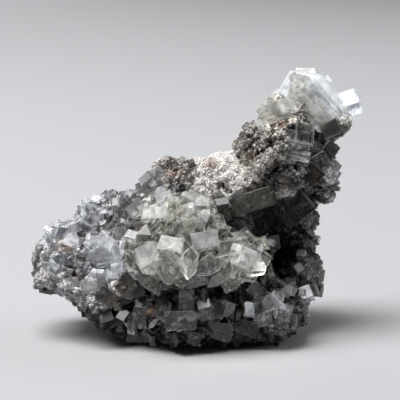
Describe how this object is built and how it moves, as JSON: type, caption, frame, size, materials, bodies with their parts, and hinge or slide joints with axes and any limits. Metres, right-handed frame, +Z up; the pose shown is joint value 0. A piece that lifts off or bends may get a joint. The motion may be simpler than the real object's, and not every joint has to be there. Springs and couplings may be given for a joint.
{
  "type": "barite specimen",
  "caption": "Rough rock with a leaning arm and a deep recess, overgrown with clusters of clear to milky blocky crystals; it rests on a flat.",
  "frame": {"origin": "on the flat that the rock rests on, below the middle of the specimen", "axes": "+Z up, +X from the nose to the arm, -Y to the front, where the crystals are"},
  "size_m": [0.0918, 0.0554, 0.0736],
  "materials": {
    "crust": "dull sugary mineral crust, beige-grey with rust and grey glassy patches",
    "white_barite": "clear to milky, bluish white, glassy faces",
    "cream_barite": "clear to milky, faint greenish cream, glassy faces",
    "grey_barite": "clear grey, glassy faces, frosted in places",
    "brown_barite": "clear with a brownish tint, glassy faces"
  },
  "bodies": {
    "root": {"arm_front_crystals": "brown_barite", "arm_left_crystals": "white_barite", "arm_right_crystals": "brown_barite", "foot_left_crystals": "grey_barite", "foot_left_crystals_2": "grey_barite", "foot_right_crystals": "grey_barite", "foot_right_crystals_2": "grey_barite", "foot_right_crystals_3": "grey_barite", "foot_right_crystals_4": "grey_barite", "ledge_crystals": "brown_barite", "ledge_crystals_2": "brown_barite", "left_crystals": "grey_barite", "left_crystals_2": "grey_barite", "left_plate_crystals": "grey_barite", "lower_left_crystals": "grey_barite", "lower_left_crystals_2": "grey_barite", "middle_crystals": "cream_barite", "middle_crystals_2": "cream_barite", "nose_crystals": "grey_barite", "nose_crystals_2": "grey_barite", "recess_crystals": "brown_barite", "recess_crystals_2": "brown_barite", "right_middle_crystals": "cream_barite", "right_middle_crystals_2": "cream_barite", "right_middle_crystals_3": "cream_barite", "rock": "crust", "shoulder_crystals": "grey_barite", "shoulder_crystals_2": "grey_barite", "summit_crystals": "white_barite", "upper_middle_crystals": "cream_barite", "upper_middle_crystals_2": "cream_barite", "upper_middle_crystals_3": "cream_barite", "upper_middle_crystals_4": "cream_barite", "wall_crystals": "brown_barite"}
  },
  "joints": []
}
